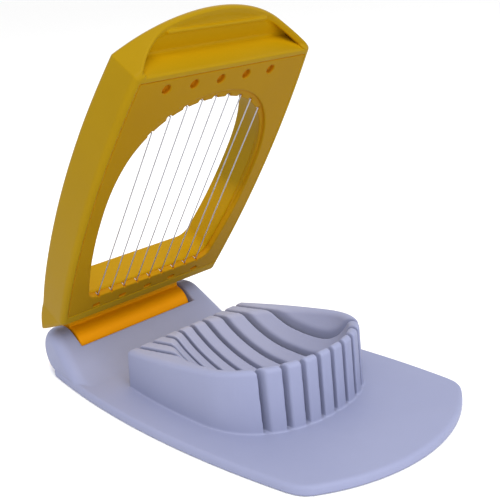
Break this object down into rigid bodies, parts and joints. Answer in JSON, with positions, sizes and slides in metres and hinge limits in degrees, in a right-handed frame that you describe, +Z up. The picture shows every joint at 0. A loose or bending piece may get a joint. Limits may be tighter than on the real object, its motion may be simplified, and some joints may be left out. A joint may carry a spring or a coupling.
{
  "type": "egg slicer",
  "caption": "Plastic egg slicer: a base plate with a slotted egg cradle and a hinged cutting frame strung with fine parallel wires.",
  "frame": {"origin": "centre of the footprint on the table face", "axes": "+Z up, the front edge of the base faces -Y, the hinge is towards +Y, +X to the right seen from the front"},
  "size_m": [0.0848, 0.1446, 0.1255],
  "materials": {
    "base": "pale lavender moulded ABS, satin",
    "frame": "ochre yellow moulded ABS, semi gloss",
    "wire": "drawn stainless wire",
    "pin": "plain steel rod"
  },
  "bodies": {
    "base_body": {"base": "base", "hinge_pin": "pin"},
    "frame_body": {"frame_shell": "frame", "wire_plate": "frame", "wire_01": "wire", "wire_02": "wire", "wire_03": "wire", "wire_04": "wire", "wire_05": "wire", "wire_06": "wire", "wire_07": "wire", "wire_08": "wire", "wire_09": "wire"}
  },
  "joints": [
    {"name": "frame_hinge", "type": "hinge", "parent": "base_body", "child": "frame_body", "pos_m": [0, 0.0639, 0.0084], "axis": [-1, 0, 0], "range_deg": [-57.2, 57.8]}
  ]
}
